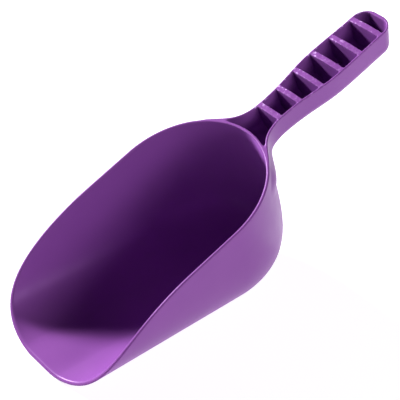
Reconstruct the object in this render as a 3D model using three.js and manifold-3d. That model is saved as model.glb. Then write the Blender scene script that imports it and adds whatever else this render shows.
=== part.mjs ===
// Feed scoop: a deep one-hand scoop moulded from one plastic, with a trough-shaped bowl
// and a hollow, ribbed handle that is open at the top.
//
// Frame: +X runs from the pouring lip to the end of the handle, +Y to the left, +Z up.
// The flat foot under the bowl stands on Z = 0, and the origin is under the middle of the
// whole scoop. The moulding is divided into its walls, floors and ribs, one named solid
// for each, with a small gap where two of them meet.

import * as THREE from 'three';
import { mergeVertices } from 'three/addons/utils/BufferGeometryUtils.js';
import Module from 'manifold-3d';

const wasm = await Module();
wasm.setup();

// Driving dimensions, in millimetres and degrees.

const GAP = 0.3; // between neighbouring solids

// Bowl. X is measured from the lip until the finished scoop is centred.
const BOWL_WALL = 2.8;
const BOWL_HALF_WIDTH = 68.3;
const FULL_WIDTH_HEIGHT = 75.2; // the section is still widening below this height
const SECTION_BELLY = 2.18; // how square the bottom corners of the section are
const SECTION_SIDE = 3.91; // how soon the sides of the section stand upright
const FOOT_CUT = 1; // how much of the round bottom is flattened into the foot
const BACK_CENTRE = 161.4; // where the straight sides end and the round back begins
const BACK_STRETCH = 1.19; // length of the round back over the half-width
const BACK_LEAN = 22.3; // forward lean of the back wall at LEAN_HEIGHT
const LEAN_HEIGHT = 129.4;

// Rim seen from the side: an arc that rises from the lip, then a straight slope.
const LIP_ANGLE = 59.9;
const RIM_RADIUS = 192.8;
const RIM_SLOPE = 20.5;

// Handle. U runs along the handle's top edge from its root, W is square to that edge.
const HANDLE_ROOT_X = 222;
const HANDLE_SLOPE = 19.3;
const HANDLE_LENGTH = 149.8;
const HANDLE_DEPTH = 23.8; // at the root, growing towards the end
const DEPTH_GROWTH = 0.16;
const HANDLE_BOTTOM_RADIUS = 8;
const HANDLE_DRAFT = 2;
const END_LEAN = 8; // how far the end face leans back under the handle
const END_LEAN_START = 115;
const HANDLE_WALL = 2;
const END_WALL = 3.2;
const FLARE_START = new THREE.Vector2(-18.1, 38.5); // where the neck leaves the bowl's outline
const FLARE_ANGLE = -49.3; // direction of the bowl's outline there
const FLARE_PULL = 19; // how far the neck follows that direction
const WAIST = new THREE.Vector2(23, 13.7);
const SWELL = new THREE.Vector2(85, 19.2);
const END_HALF_WIDTH = 18.2;
const OUTSIDE = { length: HANDLE_LENGTH, corner: 14 };
const INSIDE = { length: HANDLE_LENGTH - END_WALL + HANDLE_WALL, corner: 9.5 };
const INNER_BOTTOM_RADIUS = 5;

// Ribs across the handle, counted from its end.
const RIB_COUNT = 6;
const RIB_THICKNESS = 5.4;
const END_RIB_U = 132.7;
const SECOND_RIB_U = 108.1;
const RIB_PITCH = 22.2; // between the other ribs

// Where the handle's solids are divided.
const NECK_SPLIT_U = SECOND_RIB_U - 4 * RIB_PITCH;
const END_SPLIT_U = END_RIB_U;
const FLOOR_SPLIT_DEPTH = HANDLE_DEPTH - HANDLE_BOTTOM_RADIUS;

// Facets.
const SIDE_STATIONS = 16;
const BACK_STATIONS = 24;
const BOWL_ROWS = 12;
const CURVE_STEPS = 7;
const ROUND_STEPS = 4;

const radians = THREE.MathUtils.degToRad;

// Height of the rim above the bottom line of the bowl, at a distance x from the lip.
function rimHeight(x) {
  const lip = radians(LIP_ANGLE);
  const slope = radians(RIM_SLOPE);
  const arcEnd = RIM_RADIUS * (Math.sin(lip) - Math.sin(slope));
  if (x > arcEnd) {
    return RIM_RADIUS * (Math.cos(slope) - Math.cos(lip)) + (x - arcEnd) * Math.tan(slope);
  }
  const sine = Math.sin(lip) - x / RIM_RADIUS;
  return RIM_RADIUS * (Math.sqrt(1 - sine * sine) - Math.cos(lip));
}

// Distance from the lip at which the rim reaches a height, on its arc.
function rimDistance(height) {
  const lip = radians(LIP_ANGLE);
  const cosine = Math.cos(lip) + height / RIM_RADIUS;
  return RIM_RADIUS * (Math.sin(lip) - Math.sqrt(1 - cosine * cosine));
}

// How far the section has widened at a height, from 0 at the bottom to 1 where it is full.
function fullness(height, inset) {
  const rise = THREE.MathUtils.clamp((height - inset) / (FULL_WIDTH_HEIGHT - inset), 0, 1);
  return (1 - (1 - rise) ** SECTION_SIDE) ** (1 / SECTION_BELLY);
}

// The back's centre line bends forward with height, more and more up to the rim.
function backCentre(height) {
  return BACK_CENTRE - Math.tan(radians(BACK_LEAN)) * height * height / (2 * LEAN_HEIGHT);
}

// A point of the bowl surface on one station. Stations run from the left of the lip (0),
// along the left side, around the back and down the right side to the lip again (1).
function bowlPoint(station, height, inset) {
  const sideShare = SIDE_STATIONS / (2 * SIDE_STATIONS + BACK_STATIONS);
  const halfWidth = (BOWL_HALF_WIDTH - inset) * fullness(height, inset);
  const centre = backCentre(height);
  if (station >= sideShare && station <= 1 - sideShare) {
    const turn = Math.PI * (0.5 - (station - sideShare) / (1 - 2 * sideShare));
    const reach = (BACK_STRETCH * BOWL_HALF_WIDTH - inset) * fullness(height, inset);
    return new THREE.Vector3(centre + reach * Math.cos(turn), halfWidth * Math.sin(turn), height);
  }
  const lip = rimDistance(FOOT_CUT + inset);
  const along = Math.min(station, 1 - station) / sideShare;
  const side = station < 0.5 ? 1 : -1;
  return new THREE.Vector3(lip + (centre - lip) * along ** 2, side * halfWidth, height);
}

// One station of the bowl surface, from the bottom line up to the rim.
function bowlStation(station, inset, rimLift) {
  let top = LEAN_HEIGHT;
  for (let round = 0; round < 40; round += 1) {
    top = rimHeight(bowlPoint(station, top, inset).x) + rimLift;
  }
  const points = [];
  for (let row = 0; row <= BOWL_ROWS; row += 1) {
    const height = inset + (top - inset) * (row / BOWL_ROWS) ** SECTION_BELLY;
    const point = bowlPoint(station, height, inset);
    point.z = Math.max(height, inset + FOOT_CUT) - FOOT_CUT;
    points.push(point);
  }
  return points;
}

// The whole bowl surface as a grid of stations, for a given inset from the outside.
function bowlSheet(inset, rimLift = 0) {
  const count = 2 * SIDE_STATIONS + BACK_STATIONS;
  const sheet = [];
  for (let index = 0; index <= count; index += 1) {
    sheet.push(bowlStation(index / count, inset, rimLift));
  }
  return sheet;
}

// The open edge of a bowl sheet: across the lip, up to the rim and around it.
function sheetEdge(sheet) {
  const first = sheet[0];
  const last = sheet[sheet.length - 1];
  const rim = sheet.slice(1, -1).map((station) => station[BOWL_ROWS]);
  return [...first, ...rim, ...[...last].reverse()];
}

// Collects triangles as points, and welds them into one geometry without slivers.
class FaceList {
  constructor() {
    this.points = [];
  }

  triangle(a, b, c) {
    this.points.push(a, b, c);
  }

  quad(a, b, c, d) {
    this.triangle(a, b, c);
    this.triangle(a, c, d);
  }

  mirroredQuad(a, b, c, d) {
    this.triangle(a, b, d);
    this.triangle(b, c, d);
  }

  geometry() {
    const raw = new THREE.BufferGeometry().setFromPoints(this.points);
    const welded = mergeVertices(raw, 1e-4);
    const index = Array.from(welded.index.array);
    const kept = [];
    for (let start = 0; start < index.length; start += 3) {
      const [a, b, c] = index.slice(start, start + 3);
      if (a !== b && b !== c && c !== a) {
        kept.push(a, b, c);
      }
    }
    welded.setIndex(kept);
    return welded;
  }
}

function toSolid(geometry) {
  const plain = geometry.clone();
  plain.deleteAttribute('normal');
  plain.deleteAttribute('uv');
  const welded = mergeVertices(plain, 1e-4);
  return new wasm.Manifold(new wasm.Mesh({
    numProp: 3,
    vertProperties: new Float32Array(welded.attributes.position.array),
    triVerts: new Uint32Array(welded.index.array),
  }));
}

function toGeometry(solid) {
  const mesh = solid.getMesh();
  const geometry = new THREE.BufferGeometry();
  geometry.setAttribute('position', new THREE.BufferAttribute(mesh.vertProperties, 3));
  geometry.setIndex(new THREE.BufferAttribute(mesh.triVerts, 1));
  return geometry;
}

// Adds a sheet's faces, turned to face the outside or the inside of the bowl. The left
// and right halves are split into triangles as mirror images of each other.
function addSheet(faces, sheet, outward) {
  for (let index = 0; index + 1 < sheet.length; index += 1) {
    const onLeft = index < (sheet.length - 1) / 2;
    for (let row = 0; row < BOWL_ROWS; row += 1) {
      const corners = [
        sheet[index][row],
        sheet[index][row + 1],
        sheet[index + 1][row + 1],
        sheet[index + 1][row],
      ];
      if (!outward) {
        corners.reverse();
      }
      if (onLeft === outward) {
        faces.quad(...corners);
      } else {
        faces.mirroredQuad(...corners);
      }
    }
  }
}

// The bowl: an outer and an inner sheet joined by the face of the rim and lip.
function bowlGeometry() {
  const faces = new FaceList();
  const outer = bowlSheet(0);
  const inner = bowlSheet(BOWL_WALL);
  addSheet(faces, outer, true);
  addSheet(faces, inner, false);
  const outerEdge = sheetEdge(outer);
  const innerEdge = sheetEdge(inner);
  for (let index = 0; index + 1 < outerEdge.length; index += 1) {
    faces.quad(outerEdge[index], innerEdge[index], innerEdge[index + 1], outerEdge[index + 1]);
  }
  return faces.geometry();
}

// A solid that fills the bowl and a little more, to clear the handle's solids away from it.
function bowlBlock() {
  const faces = new FaceList();
  const sheet = bowlSheet(-GAP, 30);
  addSheet(faces, sheet, true);
  const edge = sheetEdge(sheet);
  const middle = new THREE.Vector3(BACK_CENTRE / 2, 0, 2 * LEAN_HEIGHT);
  for (let index = 0; index + 1 < edge.length; index += 1) {
    faces.triangle(edge[index], middle, edge[index + 1]);
  }
  return toSolid(faces.geometry());
}

// Left half of the handle's top outline, from inside the bowl to the middle of its end.
function halfOutline(end) {
  const cornerX = end.length - end.corner;
  const flareX = FLARE_START.x + FLARE_PULL * Math.cos(radians(FLARE_ANGLE));
  const flareY = FLARE_START.y + FLARE_PULL * Math.sin(radians(FLARE_ANGLE));
  const path = new THREE.Path();
  path.moveTo(FLARE_START.x - 20, FLARE_START.y);
  path.lineTo(FLARE_START.x, FLARE_START.y);
  path.bezierCurveTo(flareX, flareY, WAIST.x - 26, WAIST.y, WAIST.x, WAIST.y);
  path.bezierCurveTo(WAIST.x + 26, WAIST.y, SWELL.x - 23, SWELL.y, SWELL.x, SWELL.y);
  path.bezierCurveTo(SWELL.x + 20, SWELL.y, cornerX - 16, END_HALF_WIDTH, cornerX, END_HALF_WIDTH);
  path.absarc(cornerX, END_HALF_WIDTH - end.corner, end.corner, Math.PI / 2, 0, true);
  path.lineTo(end.length, 0);
  return path.getPoints(CURVE_STEPS);
}

// Outward normals of a half outline, averaged over each point's two neighbours.
function outlineNormals(points) {
  return points.map((point, index) => {
    const before = points[Math.max(index - 1, 0)];
    const after = points[Math.min(index + 1, points.length - 1)];
    const along = after.clone().sub(before).normalize();
    return new THREE.Vector2(-along.y, along.x);
  });
}

// The outline at one depth below the top edge, moved inward by a distance.
function handleRing(depth, inset, end) {
  const points = halfOutline(end);
  const normals = outlineNormals(points);
  normals[normals.length - 1].set(1, 0);
  const half = points.map((point, index) => {
    const draft = depth * Math.tan(radians(HANDLE_DRAFT));
    const moved = point.clone().addScaledVector(normals[index], -inset - draft);
    const nearEnd = THREE.MathUtils.smoothstep(point.x, END_LEAN_START, HANDLE_LENGTH);
    moved.x -= nearEnd * depth * Math.tan(radians(END_LEAN));
    const level = -depth * (1 + DEPTH_GROWTH * point.x / HANDLE_LENGTH);
    return new THREE.Vector3(moved.x, moved.y, level);
  });
  const mirrored = half.slice(0, -1).reverse().map(({ x, y, z }) => new THREE.Vector3(x, -y, z));
  return [...half, ...mirrored];
}

// A closed solid through a stack of rings, listed from the top down.
function loft(rings) {
  const faces = new FaceList();
  const count = rings[0].length;
  for (let level = 0; level + 1 < rings.length; level += 1) {
    for (let index = 0; index < count; index += 1) {
      const next = (index + 1) % count;
      faces.quad(rings[level][index], rings[level][next], rings[level + 1][next], rings[level + 1][index]);
    }
  }
  const top = rings[0];
  const bottom = rings[rings.length - 1];
  for (const [a, b, c] of THREE.ShapeUtils.triangulateShape(top, [])) {
    faces.triangle(top[a], top[b], top[c]);
  }
  for (const [a, b, c] of THREE.ShapeUtils.triangulateShape(bottom, [])) {
    faces.triangle(bottom[c], bottom[b], bottom[a]);
  }
  return toSolid(faces.geometry());
}

// A tub with the handle's outline: upright walls and a rounded bottom edge.
function handleTub(top, depth, radius, inset, end) {
  const rings = [handleRing(-top, inset, end)];
  for (let step = 0; step <= ROUND_STEPS; step += 1) {
    const turn = Math.PI / 2 * step / ROUND_STEPS;
    const level = depth - radius + radius * Math.sin(turn);
    rings.push(handleRing(level, inset + radius * (1 - Math.cos(turn)), end));
  }
  return loft(rings);
}

// The space inside the handle, less a margin on its sides and bottom.
function handleSpace(top, margin) {
  const depth = HANDLE_DEPTH - HANDLE_WALL - margin;
  return handleTub(top, depth, INNER_BOTTOM_RADIUS, HANDLE_WALL + margin, INSIDE);
}

// A box in the handle's frame, given by its lowest and highest corners.
function slab(low, high) {
  const size = high.clone().sub(low);
  const centre = low.clone().add(high).multiplyScalar(0.5);
  const box = new THREE.BoxGeometry(size.x, size.y, size.z);
  box.translate(centre.x, centre.y, centre.z);
  return toSolid(box);
}

function plastic() {
  return new THREE.MeshStandardMaterial({ color: 0x9b62b8, roughness: 0.35, metalness: 0 });
}

function addPiece(group, name, geometry) {
  const mesh = new THREE.Mesh(geometry, plastic());
  mesh.name = name;
  group.add(mesh);
}

// The handle's walls and floors, cut from one hollow tub.
function addHandleShell(handle, shell) {
  const far = 200;
  const half = GAP / 2;
  const wallBottom = -FLOOR_SPLIT_DEPTH + half;
  const floorTop = -FLOOR_SPLIT_DEPTH - half;
  const regions = {
    neck_left_wall: [[-far, 0, wallBottom], [NECK_SPLIT_U - half, far, far]],
    neck_right_wall: [[-far, -far, wallBottom], [NECK_SPLIT_U - half, 0, far]],
    neck_floor: [[-far, -far, -far], [NECK_SPLIT_U - half, far, floorTop]],
    handle_left_wall: [[NECK_SPLIT_U + half, 0, wallBottom], [END_SPLIT_U - half, far, far]],
    handle_right_wall: [[NECK_SPLIT_U + half, -far, wallBottom], [END_SPLIT_U - half, 0, far]],
    handle_floor: [[NECK_SPLIT_U + half, -far, -far], [END_SPLIT_U - half, far, floorTop]],
    handle_end: [[END_SPLIT_U + half, -far, -far], [far, far, far]],
  };
  for (const [name, [low, high]] of Object.entries(regions)) {
    const region = slab(new THREE.Vector3(...low), new THREE.Vector3(...high));
    addPiece(handle, name, toGeometry(shell.intersect(region)));
  }
}

// The cross ribs, each filling the handle's space from wall to wall.
function addRibs(handle) {
  const filling = handleSpace(0, GAP);
  for (let index = 0; index < RIB_COUNT; index += 1) {
    const u = index === 0 ? END_RIB_U : SECOND_RIB_U - (index - 1) * RIB_PITCH;
    const low = new THREE.Vector3(u - RIB_THICKNESS / 2, -50, -50);
    const high = new THREE.Vector3(u + RIB_THICKNESS / 2, 50, 50);
    addPiece(handle, `grip_rib_${index + 1}`, toGeometry(filling.intersect(slab(low, high))));
  }
}

function buildHandle() {
  const handle = new THREE.Group();
  handle.position.set(HANDLE_ROOT_X, 0, rimHeight(HANDLE_ROOT_X) - FOOT_CUT);
  handle.rotation.y = -radians(HANDLE_SLOPE);
  handle.updateMatrix();
  const toHandle = handle.matrix.clone().invert();
  const bowl = toGeometry(bowlBlock()).applyMatrix4(toHandle);
  const outer = handleTub(0, HANDLE_DEPTH, HANDLE_BOTTOM_RADIUS, 0, OUTSIDE);
  const shell = outer.subtract(handleSpace(1, 0)).subtract(toSolid(bowl));
  addHandleShell(handle, shell);
  addRibs(handle);
  return handle;
}

function buildScoop() {
  const scoop = new THREE.Group();
  addPiece(scoop, 'bowl', bowlGeometry());
  scoop.add(buildHandle());
  const box = new THREE.Box3().setFromObject(scoop, true);
  scoop.position.x = -(box.min.x + box.max.x) / 2;
  return scoop;
}

export default buildScoop();
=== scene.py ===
"""Feed scoop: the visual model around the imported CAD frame.

The real scoop is one moulding, so it is one piece here. Its shape is written as a signed
distance in millimetres: negative inside the plastic, zero on its surface. The surface is
meshed on a fine grid, thinned where it is nearly flat, and put back on the exact surface.
"""

import math

import bpy
import numpy as np
from mathutils import Matrix, Vector


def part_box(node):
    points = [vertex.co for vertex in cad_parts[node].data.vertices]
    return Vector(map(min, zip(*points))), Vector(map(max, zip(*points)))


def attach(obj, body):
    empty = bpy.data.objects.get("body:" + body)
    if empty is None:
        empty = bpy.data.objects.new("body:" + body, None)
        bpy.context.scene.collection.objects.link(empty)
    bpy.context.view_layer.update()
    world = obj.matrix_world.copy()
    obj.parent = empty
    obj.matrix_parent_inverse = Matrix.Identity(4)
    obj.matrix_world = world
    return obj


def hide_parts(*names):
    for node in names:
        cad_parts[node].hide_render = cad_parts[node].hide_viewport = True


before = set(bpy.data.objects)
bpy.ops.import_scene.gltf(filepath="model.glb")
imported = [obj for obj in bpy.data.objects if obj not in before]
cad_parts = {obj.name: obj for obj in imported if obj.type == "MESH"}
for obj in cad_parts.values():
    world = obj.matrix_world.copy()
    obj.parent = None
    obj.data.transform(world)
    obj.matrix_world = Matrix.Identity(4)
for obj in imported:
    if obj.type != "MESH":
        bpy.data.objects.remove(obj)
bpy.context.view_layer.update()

MM = 0.001

# Bowl, in millimetres and degrees. X is measured from the lip.
WALL = 2.8
HALF_WIDTH = 68.3
FULL_WIDTH_HEIGHT = 75.2
SECTION_BELLY = 2.18
SECTION_SIDE = 3.91
FOOT_CUT = 1.0
BACK_CENTRE = 161.4
BACK_STRETCH = 1.19
BACK_LEAN = math.tan(math.radians(22.3))
LEAN_HEIGHT = 129.4
LIP_ANGLE = math.radians(59.9)
RIM_RADIUS = 192.8
RIM_SLOPE = math.radians(20.5)
RIM_ROUNDING = 1.25
FOOT_ROUNDING = 0.8
CAVITY_ROUNDING = 1.0  # where the inside of the bowl meets its flat bottom

# Handle. U runs along its top edge, V to the left, W is square to that edge.
HANDLE_ROOT_X = 222.0
HANDLE_SLOPE = math.radians(19.3)
HANDLE_LENGTH = 149.8
HANDLE_DEPTH = 23.8
DEPTH_GROWTH = 0.16
BOTTOM_ROUNDING = 8.0
DRAFT = math.tan(math.radians(2))
END_LEAN = math.tan(math.radians(8))
END_LEAN_START = 115.0
HANDLE_WALL = 2.0
END_WALL = 3.2
FLARE_START = (-18.1, 38.5)
FLARE_ANGLE = math.radians(-49.3)
FLARE_PULL = 19.0
INTO_BOWL = 6.0  # how far the outline goes on beyond FLARE_START, hidden in the bowl
SHOULDER = (-34.0, 45.0)  # where it turns flat, inside the bowl
SHOULDER_PULL = 7.0
OUTLINE_AHEAD = -90.0  # beyond both ends of the grid
OUTLINE_BEYOND = 60.0
TUB_START = -38.0  # inside the bowl
WAIST = (23.0, 13.7)
WAIST_PULL = 26.0
SWELL = (85.0, 19.2)
SWELL_PULL_BEFORE = 23.0
SWELL_PULL_AFTER = 20.0
END_PULL = 16.0
END_HALF_WIDTH = 18.2
END_CORNER = 14.0
INNER_END_CORNER = 9.5
POCKET_BOTTOM_ROUNDING = 6.5
POCKET_CORNER = 0.7
NECK_CORNER = 3.2
TOP_ROUNDING = 0.85

# Ribs.
RIB_PITCH = 22.2
RIBS = [132.7] + [108.1 - RIB_PITCH * index for index in range(5)]
PIN_OFFSET = 6.5  # ejector-pin marks, from the middle plane
PIN_RADIUS = 2.2
RIB_HALF = 2.7
RIB_DRAFT = math.tan(math.radians(1))
RIB_CROWN = 0.8
CROWN_HALF_WIDTH = 15.0
CROWN_RISES = (8.0, 14.0)  # along the handle
CROWN_FALLS = (137.0, 141.0)

# Blend between the handle and the back of the bowl, small at the rim, large underneath.
BLEND_AT_TOP = 0.15
BLEND_BELOW = 9.5
BLEND_START = 1.0
BLEND_END = 15.0

# Mesh. The grid covers the left half of the scoop, in the handle's axes.
CELL = 0.9
GRID_U = (-256, 153)
GRID_V_END = 71
GRID_W = (-125, 4)
KEPT_TRIANGLES = 92000  # of each half
UNEVENNESS = 0.012  # added before thinning, so that flat parts keep even triangles
SURFACE_ROUNDS = 3  # of moving points onto the surface
LARGEST_MOVE = 0.6
LEAST_SLOPE_SQUARE = 0.05
LEAST_BOWL_SLOPE = 0.2
OUTLINE_SAMPLES = 900  # of each curve
OUTLINE_ROUNDS = 5
OUTLINE_DAMPING = 0.8

# Plastic and lights.
PURPLE_DARK = (0.208, 0.062, 0.288, 1)
PURPLE_LIGHT = (0.226, 0.069, 0.308, 1)
# Pale colour of the scuffs on the handle's top edges: partly wear, partly a painted highlight.
SCUFF_AND_HIGHLIGHT_COLOUR = (0.62, 0.38, 0.78, 1)
REFLECTION_TINT = (0.80, 0.45, 1.0, 1)
SHEEN_TINT = (0.70, 0.26, 1.0, 1)
WORLD_STRENGTH = 0.015
FLOOR_SIZE = 8
FLOOR_GREY = (0.6, 0.6, 0.6, 1)
FLOOR_GLOW = 0.8
CAMERA_LENS = 117
CAMERA_PLACE = (-0.5459, -0.6249, 0.7474)


def rim_height(x):
    """Height of the rim above the bowl's bottom line, on its straight slope."""
    arc_end = RIM_RADIUS * (math.sin(LIP_ANGLE) - math.sin(RIM_SLOPE))
    arc_height = RIM_RADIUS * (math.cos(RIM_SLOPE) - math.cos(LIP_ANGLE))
    return arc_height + (x - arc_end) * math.tan(RIM_SLOPE)


def lip_distance(height):
    """Distance from the lip at which the rim's arc reaches a height."""
    cosine = math.cos(LIP_ANGLE) + height / RIM_RADIUS
    return RIM_RADIUS * (math.sin(LIP_ANGLE) - math.sqrt(1 - cosine * cosine))


ROOT = (HANDLE_ROOT_X, rim_height(HANDLE_ROOT_X))
LIP_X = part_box("bowl")[0].x / MM - lip_distance(FOOT_CUT)


def smooth_step(value, low, high):
    share = np.clip((value - low) / (high - low), 0, 1)
    return share * share * (3 - 2 * share)


def round_max(radius, *parts):
    """Intersection of solids, with its edges rounded."""
    over = sum(np.maximum(part + radius, 0) ** 2 for part in parts)
    return np.minimum(np.maximum.reduce(parts), -radius) + np.sqrt(over)


def round_min(radius, *parts):
    """Union of solids, with its inner corners filled by a round."""
    return -round_max(radius, *[-part for part in parts])


def bowl_distance(x, y, h, inset):
    """Distance from the bowl's surface moved inward by inset, without its rim."""
    half = HALF_WIDTH - inset
    stretch = (BACK_STRETCH * HALF_WIDTH - inset) / half
    tall = FULL_WIDTH_HEIGHT - inset
    behind = np.maximum(x - BACK_CENTRE + BACK_LEAN * h * h / (2 * LEAN_HEIGHT), 0) / stretch
    reach = np.sqrt(behind * behind + y * y) + 1e-6
    below = np.maximum(1 - (h - inset) / tall, 0)
    value = (reach / half) ** SECTION_BELLY + below ** SECTION_SIDE - 1
    by_reach = SECTION_BELLY * (reach / half) ** (SECTION_BELLY - 1) / half
    by_x = by_reach * behind / (reach * stretch)
    by_y = by_reach * y / reach
    by_h = by_x * BACK_LEAN * h / LEAN_HEIGHT - SECTION_SIDE * below ** (SECTION_SIDE - 1) / tall
    slope = np.sqrt(by_x * by_x + by_y * by_y + by_h * by_h)
    return value / np.maximum(slope, LEAST_BOWL_SLOPE / half)


def rim_distance(x, h):
    """Distance above the rim, which is an arc from the lip and then a straight slope."""
    across = x - RIM_RADIUS * math.sin(LIP_ANGLE)
    up = h + RIM_RADIUS * math.cos(LIP_ANGLE)
    arc = np.sqrt(across * across + up * up) - RIM_RADIUS
    slope = across * -math.sin(RIM_SLOPE) + up * math.cos(RIM_SLOPE) - RIM_RADIUS
    on_slope = across * math.cos(RIM_SLOPE) + up * math.sin(RIM_SLOPE) > 0
    return np.where(on_slope, slope, arc)


def outline_table():
    """The handle's half-width as a dense table over U, from four cubic curves."""
    flare = (
        FLARE_START[0] + FLARE_PULL * math.cos(FLARE_ANGLE),
        FLARE_START[1] + FLARE_PULL * math.sin(FLARE_ANGLE),
    )
    corner = HANDLE_LENGTH - END_CORNER
    into_bowl = (
        FLARE_START[0] - INTO_BOWL * math.cos(FLARE_ANGLE),
        FLARE_START[1] - INTO_BOWL * math.sin(FLARE_ANGLE),
    )
    after_shoulder = (SHOULDER[0] + SHOULDER_PULL, SHOULDER[1])
    before_waist = (WAIST[0] - WAIST_PULL, WAIST[1])
    after_waist = (WAIST[0] + WAIST_PULL, WAIST[1])
    before_swell = (SWELL[0] - SWELL_PULL_BEFORE, SWELL[1])
    after_swell = (SWELL[0] + SWELL_PULL_AFTER, SWELL[1])
    before_end = (corner - END_PULL, END_HALF_WIDTH)
    curves = [
        (SHOULDER, after_shoulder, into_bowl, FLARE_START),
        (FLARE_START, flare, before_waist, WAIST),
        (WAIST, after_waist, before_swell, SWELL),
        (SWELL, after_swell, before_end, (corner, END_HALF_WIDTH)),
    ]
    t = np.linspace(0, 1, OUTLINE_SAMPLES)[:, None]
    points = [
        (1 - t) ** 3 * np.array(a) + 3 * t * (1 - t) ** 2 * np.array(b)
        + 3 * t * t * (1 - t) * np.array(c) + t ** 3 * np.array(d)
        for a, b, c, d in curves
    ]
    ahead = np.array([[OUTLINE_AHEAD, SHOULDER[1]]])
    beyond = np.array([[HANDLE_LENGTH + OUTLINE_BEYOND, END_HALF_WIDTH]])
    joined = np.concatenate([ahead] + [curve[:-1] for curve in points] + [beyond])
    return joined[:, 0], joined[:, 1]


OUTLINE_U, OUTLINE_V = outline_table()
OUTLINE_SLOPE = np.gradient(OUTLINE_V, OUTLINE_U)


def outline_distance(u, v):
    """Distance from the handle's side outline, measured to the nearest point of the curve."""
    side = np.abs(v)
    near = u.copy()
    for _ in range(OUTLINE_ROUNDS):
        level = np.interp(near, OUTLINE_U, OUTLINE_V)
        slope = np.interp(near, OUTLINE_U, OUTLINE_SLOPE)
        step = ((u - near) + (side - level) * slope) / (1 + slope * slope)
        near = near + OUTLINE_DAMPING * step
    level = np.interp(near, OUTLINE_U, OUTLINE_V)
    slope = np.interp(near, OUTLINE_U, OUTLINE_SLOPE)
    return ((side - level) - (u - near) * slope) / np.sqrt(1 + slope * slope)


def tub_distance(u, v, w, inset, end, corner, depth, rounding):
    """Distance from a tub with the handle's outline: drafted walls, a rounded bottom edge."""
    below = -w / (1 + DEPTH_GROWTH * u / HANDLE_LENGTH)
    drop = np.maximum(below, 0)
    shifted = u + smooth_step(u, END_LEAN_START, HANDLE_LENGTH) * drop * END_LEAN
    side = outline_distance(shifted, v) + inset
    across = round_max(corner, side, shifted - end) + drop * DRAFT
    return np.maximum(round_max(rounding, across, below - depth), TUB_START - u)


def scoop_distance(u, v, w):
    """Signed distance from the whole scoop, in the handle's own axes."""
    x = ROOT[0] + u * math.cos(HANDLE_SLOPE) - w * math.sin(HANDLE_SLOPE)
    h = ROOT[1] + u * math.sin(HANDLE_SLOPE) + w * math.cos(HANDLE_SLOPE)
    outside = bowl_distance(x, v, h, 0)
    cavity = round_max(
        CAVITY_ROUNDING, bowl_distance(x, v, h, WALL), FOOT_CUT + WALL - h)
    rim = rim_distance(x, h)
    bowl = round_max(RIM_ROUNDING, outside, rim)
    outer_tub = tub_distance(
        u, v, w, 0, HANDLE_LENGTH, END_CORNER, HANDLE_DEPTH, BOTTOM_ROUNDING)
    crown = RIB_CROWN * np.maximum(1 - (v / CROWN_HALF_WIDTH) ** 2, 0)
    crown *= smooth_step(u, *CROWN_RISES) - smooth_step(u, *CROWN_FALLS)
    handle = round_max(TOP_ROUNDING, outer_tub, np.maximum(w - crown, rim))
    blend = BLEND_AT_TOP + (BLEND_BELOW - BLEND_AT_TOP) * smooth_step(-w, BLEND_START, BLEND_END)
    joined = round_min(blend, bowl, handle)
    inner_tub = tub_distance(
        u, v, w, HANDLE_WALL, HANDLE_LENGTH - END_WALL, INNER_END_CORNER,
        HANDLE_DEPTH - HANDLE_WALL, POCKET_BOTTOM_ROUNDING)
    to_rib = np.minimum.reduce([np.abs(u - rib) for rib in RIBS])
    rib = to_rib - RIB_HALF + RIB_DRAFT * w
    pocket = round_max(NECK_CORNER, inner_tub, -outside)
    pocket = round_max(POCKET_CORNER, pocket, -rib)
    hollowed = round_max(TOP_ROUNDING, joined, -pocket)
    scooped = round_max(RIM_ROUNDING, hollowed, -cavity)
    return round_max(FOOT_ROUNDING, scooped, FOOT_CUT - h)


def gradient(points):
    """Direction in which the distance grows fastest at each point, of any length."""
    step = 0.05
    columns = []
    for axis in range(3):
        ahead = points.copy()
        behind = points.copy()
        ahead[:, axis] += step
        behind[:, axis] -= step
        columns.append(scoop_distance(*ahead.T) - scoop_distance(*behind.T))
    return np.stack(columns, 1) / (2 * step)


def onto_surface(points, rounds):
    """Moves points along the gradient until they lie on the surface."""
    for _ in range(rounds):
        slope = gradient(points)
        value = scoop_distance(*points.T)
        square = np.maximum((slope * slope).sum(1), LEAST_SLOPE_SQUARE)
        move = np.clip(value / square, -LARGEST_MOVE, LARGEST_MOVE)
        points = points - slope * move[:, None]
    return points


def surface_net(axes):
    """Quads through the grid cells that the surface crosses, one vertex to a cell."""
    u, v, w = np.meshgrid(*axes, indexing="ij")
    value = scoop_distance(u.ravel(), v.ravel(), w.ravel()).reshape(u.shape)
    inside = value < 0
    total = np.zeros([size - 1 for size in value.shape] + [3])
    count = np.zeros([size - 1 for size in value.shape])
    quads = []
    for axis in range(3):
        others = [other for other in range(3) if other != axis]
        low = [slice(None)] * 3
        high = [slice(None)] * 3
        low[axis] = slice(0, -1)
        high[axis] = slice(1, None)
        crossed = inside[tuple(low)] != inside[tuple(high)]
        found = np.argwhere(crossed)
        a = value[tuple(low)][crossed]
        b = value[tuple(high)][crossed]
        place = np.stack([axes[k][found[:, k]] for k in range(3)], 1)
        gap = axes[axis][found[:, axis] + 1] - axes[axis][found[:, axis]]
        place[:, axis] += gap * a / (a - b)
        around = []
        for first, second in ((-1, -1), (0, -1), (0, 0), (-1, 0)):
            cell = found.copy()
            cell[:, others[0]] += first
            cell[:, others[1]] += second
            around.append(cell)
            fits = ((cell >= 0) & (cell < count.shape)).all(1)
            np.add.at(total, tuple(cell[fits].T), place[fits])
            np.add.at(count, tuple(cell[fits].T), 1)
        rising = (a < 0) ^ (axis == 1)
        cells = np.stack(around, 1)
        cells[~rising] = cells[~rising][:, ::-1]
        fits = ((cells >= 0) & (cells < count.shape)).all((1, 2))
        quads.append(cells[fits])
    used = count > 0
    number = np.full(count.shape, -1)
    number[used] = np.arange(used.sum())
    points = total[used] / count[used][:, None]
    cells = np.concatenate(quads)
    return points, number[cells[..., 0], cells[..., 1], cells[..., 2]], np.argwhere(used)


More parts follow.
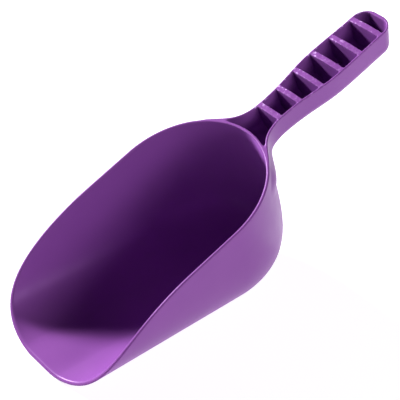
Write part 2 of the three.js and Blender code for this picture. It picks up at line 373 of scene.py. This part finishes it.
def new_mesh(name, points, faces):
    mesh = bpy.data.meshes.new(name)
    mesh.from_pydata(points.tolist(), [], faces.tolist())
    mesh.update()
    return mesh


def thinned(points, faces, triangles):
    """The same surface with fewer triangles, most of them kept where it curves."""
    uneven = np.random.default_rng(1).normal(0, UNEVENNESS, points.shape)
    mesh = new_mesh("dense", points + uneven, faces)
    dense = bpy.data.objects.new("dense", mesh)
    bpy.context.scene.collection.objects.link(dense)
    fewer = dense.modifiers.new("fewer", "DECIMATE")
    fewer.ratio = triangles / (2 * len(faces))
    fewer.use_collapse_triangulate = True
    graph = bpy.context.evaluated_depsgraph_get()
    result = dense.evaluated_get(graph).to_mesh()
    co = np.zeros(len(result.vertices) * 3)
    result.vertices.foreach_get("co", co)
    index = np.zeros(len(result.polygons) * 3, int)
    result.polygons.foreach_get("vertices", index)
    bpy.data.objects.remove(dense)
    bpy.data.meshes.remove(mesh)
    return co.reshape(-1, 3), index.reshape(-1, 3)


def open_edge(points, faces):
    """Which points of a triangle mesh lie on its open edge."""
    corners = [[0, 1], [1, 2], [2, 0]]
    sides = np.sort(np.concatenate([faces[:, pair] for pair in corners]), axis=1)
    single, uses = np.unique(sides, axis=0, return_counts=True)
    found = np.zeros(len(points), bool)
    found[single[uses == 1]] = True
    return found


def mirrored(points, faces, middle):
    """A left half and its mirror image, joined along the middle plane."""
    count = len(points)
    twin = np.where(middle, np.arange(count), count + np.cumsum(~middle) - 1)
    flipped = points[~middle] * np.array([1, -1, 1])
    return np.concatenate([points, flipped]), np.concatenate([faces, twin[faces][:, ::-1]])


def to_frame(points):
    """Points in the handle's axes as points in the part's frame, in metres."""
    u, v, w = points.T
    x = ROOT[0] + u * math.cos(HANDLE_SLOPE) - w * math.sin(HANDLE_SLOPE) + LIP_X
    z = ROOT[1] + u * math.sin(HANDLE_SLOPE) + w * math.cos(HANDLE_SLOPE) - FOOT_CUT
    return np.stack([x, v, z], 1) * MM


def scoop_body():
    """The whole moulding as one mesh, with the exact surface's own normals.

    Points on the middle plane are put back on it after every move, so the halves join.
    """
    axes = [
        np.arange(*GRID_U, CELL),
        np.arange(-CELL / 2, GRID_V_END, CELL),
        np.arange(*GRID_W, CELL),
    ]
    points, faces, cells = surface_net(axes)
    middle = cells[:, 1] == 0
    points[middle, 1] = 0
    points = onto_surface(points, SURFACE_ROUNDS)
    points[middle, 1] = 0
    points, faces = thinned(points, faces, KEPT_TRIANGLES)
    middle = open_edge(points, faces)
    faces = faces[~middle[faces].all(1)]  # these would be flat against their mirror image
    points[middle, 1] = 0
    points = onto_surface(points, SURFACE_ROUNDS)
    points[middle, 1] = 0
    points, faces = mirrored(points, faces, middle)
    normals = gradient(points)
    normals /= np.linalg.norm(normals, axis=1)[:, None]
    turned = to_frame(normals) - to_frame(np.zeros((1, 3)))
    mesh = new_mesh("scoop_body", to_frame(points), faces)
    mesh.shade_smooth()
    mesh.normals_split_custom_set_from_vertices((turned / MM).tolist())
    body = bpy.data.objects.new("scoop_body", mesh)
    bpy.context.scene.collection.objects.link(body)
    return body


class Nodes:
    """Adds shader nodes and links to one material."""

    def __init__(self, material):
        material.use_nodes = True
        self.tree = material.node_tree
        self.shader = self.tree.nodes["Principled BSDF"]

    def add(self, kind, inputs=None, **values):
        node = self.tree.nodes.new(kind)
        for name, value in values.items():
            setattr(node, name, value)
        for name, value in (inputs or {}).items():
            if isinstance(value, bpy.types.NodeSocket):
                self.tree.links.new(value, node.inputs[name])
            else:
                node.inputs[name].default_value = value
        return node

    def drive(self, socket, value):
        self.tree.links.new(value, self.shader.inputs[socket])


def handle_place(nodes, place):
    """Position along, across and above the handle's top edge, in millimetres."""
    root = to_frame(np.zeros((1, 3)))[0].tolist()
    turned = nodes.add("ShaderNodeVectorRotate", {
        "Vector": place, "Center": root, "Axis": (0, 1, 0), "Angle": HANDLE_SLOPE})
    moved = nodes.add("ShaderNodeVectorMath", {0: turned.outputs[0], 1: root},
                      operation="SUBTRACT")
    scaled = nodes.add("ShaderNodeVectorMath", {0: moved.outputs[0], "Scale": 1 / MM},
                       operation="SCALE")
    return nodes.add("ShaderNodeSeparateXYZ", {0: scaled.outputs[0]})


def handle_top(nodes, split):
    """1 on the top edges of the handle and its ribs, 0 elsewhere."""
    on_top = nodes.add("ShaderNodeMapRange", {
        "Value": split.outputs["Z"], "From Min": -0.9, "From Max": -0.3})
    past_neck = nodes.add("ShaderNodeMapRange", {
        "Value": split.outputs["X"], "From Min": 10.0, "From Max": 14.0})
    return nodes.add("ShaderNodeMath", {0: on_top.outputs[0], 1: past_neck.outputs[0]},
                     operation="MULTIPLY")


def scuff_and_highlight_mask(nodes, place, top):
    """Scattered spots on the handle's top edges: scuffs in the bump and roughness, and a painted
    highlight in the colour.
    """
    scuffs = nodes.add("ShaderNodeTexNoise", {
        "Vector": place, "Scale": 300, "Detail": 3, "Roughness": 0.6})
    sharp = nodes.add("ShaderNodeMapRange", {
        "Value": scuffs.outputs["Fac"], "From Min": 0.54, "From Max": 0.66})
    return nodes.add("ShaderNodeMath", {0: sharp.outputs[0], 1: top.outputs[0]},
                     operation="MULTIPLY")


def colour(nodes, place, split, scuff_and_highlight):
    """Slightly uneven purple, paler in the scuffs, most of all on the left side: the pale spots
    are partly wear and partly a painted highlight, and their extra strength on the left side is
    a painted highlight where the light falls.
    """
    cloud = nodes.add("ShaderNodeTexNoise", {"Vector": place, "Scale": 14, "Detail": 3})
    tint = nodes.add("ShaderNodeValToRGB", {"Fac": cloud.outputs["Fac"]})
    dark, light = tint.color_ramp.elements
    dark.position = 0.3
    dark.color = PURPLE_DARK
    light.position = 0.7
    light.color = PURPLE_LIGHT
    # Painted highlight: the pale spots are made stronger on the left side, where the strong
    # light falls.
    lit_side_highlight = nodes.add("ShaderNodeMapRange", {
        "Value": split.outputs["Y"], "From Min": -2.0, "From Max": 9.0,
        "To Min": 0.15, "To Max": 0.9})
    pale = nodes.add("ShaderNodeMath", {0: scuff_and_highlight.outputs[0], 1: lit_side_highlight.outputs[0]},
                     operation="MULTIPLY")
    # Mixes in the pale scuff colour, which is partly wear and partly a painted highlight.
    worn_and_highlight_tint = nodes.add("ShaderNodeMixRGB", {
        "Fac": pale.outputs[0], "Color1": tint.outputs["Color"], "Color2": SCUFF_AND_HIGHLIGHT_COLOUR})
    nodes.drive("Base Color", worn_and_highlight_tint.outputs["Color"])


def gloss(nodes, place, scuff_and_highlight):
    """Uneven roughness, a little lower in the scuffs."""
    patches = nodes.add("ShaderNodeTexNoise", {"Vector": place, "Scale": 60, "Detail": 4})
    uneven = nodes.add("ShaderNodeMapRange", {
        "Value": patches.outputs["Fac"], "From Min": 0.3, "From Max": 0.7,
        "To Min": 0.33, "To Max": 0.41})
    worn = nodes.add("ShaderNodeMath", {0: scuff_and_highlight.outputs[0], 1: -0.1, 2: uneven.outputs[0]},
                     operation="MULTIPLY_ADD")
    nodes.drive("Roughness", worn.outputs[0])


def relief(nodes, place, scuff_and_highlight, rings):
    """The moulded grain, then the scuffs, then the ejector-pin rings."""
    grain = nodes.add("ShaderNodeTexNoise", {"Vector": place, "Scale": 900, "Detail": 2})
    fine = nodes.add("ShaderNodeBump", {
        "Height": grain.outputs["Fac"], "Strength": 0.07, "Distance": 0.0002})
    marks = nodes.add("ShaderNodeBump", {
        "Height": scuff_and_highlight.outputs[0], "Strength": 0.3, "Distance": 0.0003,
        "Normal": fine.outputs[0]})
    bump = nodes.add("ShaderNodeBump", {
        "Height": rings, "Strength": 0.5, "Distance": 0.0003, "Normal": marks.outputs[0]})
    nodes.drive("Normal", bump.outputs["Normal"])


def plastic():
    """Satin moulded plastic with a purple sheen at glancing angles."""
    material = bpy.data.materials.new("purple_plastic")
    nodes = Nodes(material)
    shader = nodes.shader.inputs
    shader["IOR"].default_value = 1.4
    shader["Specular IOR Level"].default_value = 0.3
    shader["Specular Tint"].default_value = REFLECTION_TINT
    shader["Sheen Weight"].default_value = 0.3
    shader["Sheen Roughness"].default_value = 0.35
    shader["Sheen Tint"].default_value = SHEEN_TINT
    place = nodes.add("ShaderNodeTexCoord").outputs["Object"]
    split = handle_place(nodes, place)
    top = handle_top(nodes, split)
    scuff_and_highlight = scuff_and_highlight_mask(nodes, place, top)
    colour(nodes, place, split, scuff_and_highlight)
    gloss(nodes, place, scuff_and_highlight)
    relief(nodes, place, scuff_and_highlight, pin_rings(nodes, split, top))
    return material


def pin_rings(nodes, split, top):
    """Height of shallow round ejector-pin marks, one on each side of every rib's top."""
    along = nodes.add("ShaderNodeMath", {0: split.outputs["X"], 1: RIBS[-1] - RIB_PITCH / 2},
                      operation="SUBTRACT")
    turn = nodes.add("ShaderNodeMath", {0: along.outputs[0], 1: RIB_PITCH}, operation="MODULO")
    from_rib = nodes.add("ShaderNodeMath", {0: turn.outputs[0], 1: RIB_PITCH / 2},
                         operation="SUBTRACT")
    side = nodes.add("ShaderNodeMath", {0: split.outputs["Y"]}, operation="ABSOLUTE")
    from_pin = nodes.add("ShaderNodeMath", {0: side.outputs[0], 1: PIN_OFFSET},
                         operation="SUBTRACT")
    flat = nodes.add("ShaderNodeCombineXYZ", {"X": from_rib.outputs[0],
                                              "Y": from_pin.outputs[0]})
    far = nodes.add("ShaderNodeVectorMath", {0: flat.outputs[0]}, operation="LENGTH")
    step = nodes.add("ShaderNodeMapRange", {"Value": far.outputs["Value"],
                                            "From Min": PIN_RADIUS - 0.25,
                                            "From Max": PIN_RADIUS + 0.25})
    return nodes.add("ShaderNodeMath", {0: step.outputs[0], 1: top.outputs[0]},
                     operation="MULTIPLY").outputs[0]


def floor():
    """A plain pale table that glows, so that shadows on it stay light."""
    bpy.ops.mesh.primitive_plane_add(size=FLOOR_SIZE, location=(0, 0, -0.0002))
    plane = bpy.context.object
    plane.name = "floor"
    material = bpy.data.materials.new("pale_floor")
    nodes = Nodes(material)
    nodes.shader.inputs["Base Color"].default_value = FLOOR_GREY
    nodes.shader.inputs["Roughness"].default_value = 0.9
    nodes.shader.inputs["Emission Color"].default_value = (1, 1, 1, 1)
    nodes.shader.inputs["Emission Strength"].default_value = FLOOR_GLOW
    plane.data.materials.append(material)


def area_light(name, place, target, size, power):
    """A soft light that doesn't show in the picture itself."""
    light = bpy.data.lights.new(name, "AREA")
    light.shape = "RECTANGLE"
    light.size, light.size_y = size
    light.energy = power
    lamp = bpy.data.objects.new(name, light)
    lamp.location = place
    lamp.rotation_mode = "QUATERNION"
    lamp.rotation_quaternion = (Vector(target) - Vector(place)).to_track_quat("-Z", "Y")
    lamp.visible_camera = False
    bpy.context.scene.collection.objects.link(lamp)


def lights():
    """A strong light from the left, a weaker one from the right, and almost no other."""
    world = bpy.data.worlds.new("studio")
    world.use_nodes = True
    world.node_tree.nodes["Background"].inputs["Color"].default_value = (1, 1, 1, 1)
    world.node_tree.nodes["Background"].inputs["Strength"].default_value = WORLD_STRENGTH
    bpy.context.scene.world = world
    bpy.context.scene.view_settings.view_transform = "Standard"
    area_light("back_light", place=(-0.43, 1.84, 1.10), target=(-0.12, 0, 0.05),
               size=(0.45, 0.35), power=122)
    area_light("side_light", place=(0.36, -1.66, 0.94), target=(0, 0, 0.1),
               size=(1.1, 0.6), power=20)


def camera():
    """A long lens at the photograph's angle: from the right of the lip, looking down."""
    data = bpy.data.cameras.new("camera")
    data.lens = CAMERA_LENS
    data.sensor_width = 36
    view = bpy.data.objects.new("camera", data)
    right = Vector((0.7644, -0.6447, 0.0014)).normalized()
    down = Vector((-0.4066, -0.4836, -0.7751)).normalized()
    forward = right.cross(down).normalized()
    down = forward.cross(right)
    turn = Matrix((right, -down, -forward)).transposed().to_4x4()
    view.matrix_world = Matrix.Translation(CAMERA_PLACE) @ turn
    bpy.context.scene.collection.objects.link(view)
    bpy.context.scene.camera = view


body = scoop_body()
body.data.materials.append(plastic())
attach(body, "root")
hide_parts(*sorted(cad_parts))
floor()
lights()
camera()
